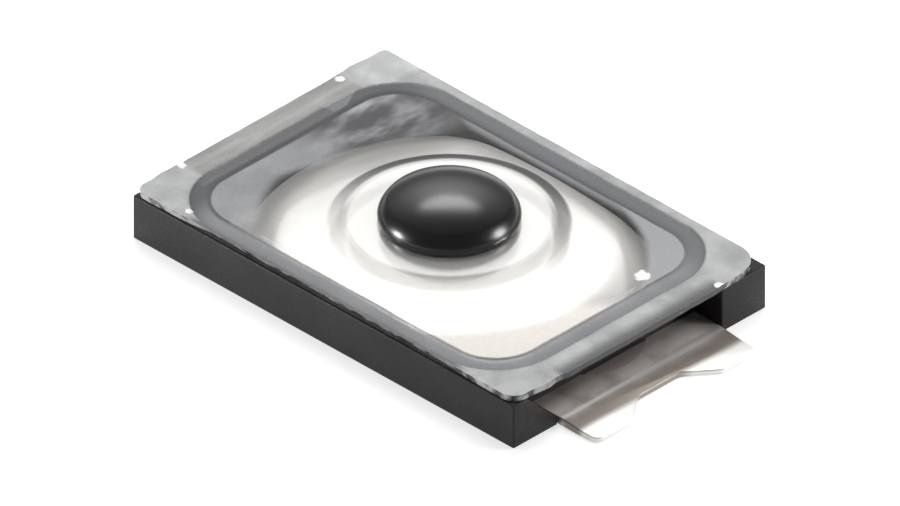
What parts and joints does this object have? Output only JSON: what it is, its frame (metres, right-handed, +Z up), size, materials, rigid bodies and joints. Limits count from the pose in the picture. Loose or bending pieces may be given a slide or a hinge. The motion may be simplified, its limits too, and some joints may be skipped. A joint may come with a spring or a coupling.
{
  "type": "tactile push button switch",
  "caption": "Ultra-thin surface mount tactile switch: black housing, clear film over a metal snap dome, black round button and a terminal at each end.",
  "frame": {"origin": "centre of the footprint on the seating plane, the undersides of the terminals and the housing", "axes": "+X along the length towards the common terminal, +Y across the width, +Z up, the way the button faces"},
  "size_m": [0.0036, 0.002, 0.0006],
  "materials": {
    "black_resin": "black glass-filled resin, fine moulded grain",
    "plated_strip": "copper alloy strip with bright silver plating",
    "dome_metal": "silver-plated spring steel, satin",
    "clear_film": "clear heat-resistant film, smooth",
    "button_resin": "polished black resin"
  },
  "bodies": {
    "base": {"housing": "black_resin", "common_contact": "plated_strip", "centre_contact": "plated_strip", "cover_film": "clear_film"},
    "button": {"actuator": "button_resin", "contact_dome": "dome_metal"}
  },
  "joints": [
    {"name": "button_press", "type": "slide", "parent": "base", "child": "button", "axis": [0, 0, 1], "range_m": [-0.00013, 0], "stiffness_N_per_m": 12300, "deforming": ["contact_dome", "cover_film"]}
  ]
}
